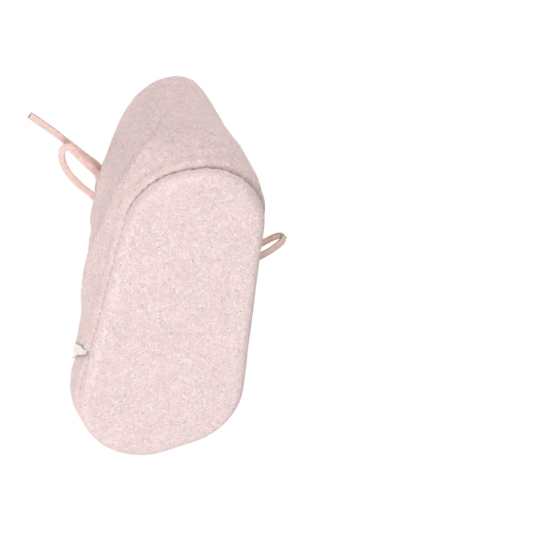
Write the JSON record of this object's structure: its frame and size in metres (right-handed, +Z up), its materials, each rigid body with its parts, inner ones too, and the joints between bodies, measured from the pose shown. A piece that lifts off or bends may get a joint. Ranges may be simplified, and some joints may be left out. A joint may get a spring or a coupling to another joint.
{
  "type": "baby bootie",
  "caption": "Soft felt ankle bootie for a baby, with a rounded padded sole, separate toe and heel panels, a hinged tongue and a leather lace tied in a bow.",
  "frame": {"origin": "on the flat underside of the sole, near the middle of its length", "axes": "+Z up, toe towards -Y and heel towards +Y, +X the medial (big toe) side of a right foot"},
  "size_m": [0.0998, 0.1233, 0.0841],
  "materials": {
    "sole_felt": "pale pink boiled-wool felt, soft nap, fine darker flecks",
    "upper_felt": "dusty pink boiled-wool felt, soft nap, mottled",
    "foam": "off-white wadding, hidden",
    "lining": "cream brushed cotton",
    "padding": "off-white wadding, hidden",
    "lace": "soft leather cord, pink face and tan flesh side",
    "thread": "matt pink sewing thread",
    "tag": "blank white woven tape"
  },
  "bodies": {
    "boot": {"outsole": "sole_felt", "insole_foam": "foam", "insole_sock": "lining", "vamp": "upper_felt", "vamp_lining": "lining", "quarter": "upper_felt", "quarter_interlining": "padding", "quarter_lining": "lining", "collar_edge": "lining", "lace_ladder": "lace", "lace_knot": "lace", "lace_loop_medial": "lace", "lace_loop_lateral": "lace", "lace_end_medial": "lace", "lace_end_lateral": "lace", "sole_seam_thread": "thread", "quarter_stitch_medial": "thread", "quarter_stitch_lateral": "thread", "collar_stitch": "thread", "side_tag": "tag"},
    "tongue": {"tongue": "upper_felt", "tongue_lining": "lining"}
  },
  "joints": [
    {"name": "tongue_fold", "type": "hinge", "parent": "boot", "child": "tongue", "pos_m": [0, -0.027, 0.034], "axis": [-1, 0, 0], "range_deg": [0, 22], "stiffness_Nm_per_rad": 0.02}
  ]
}
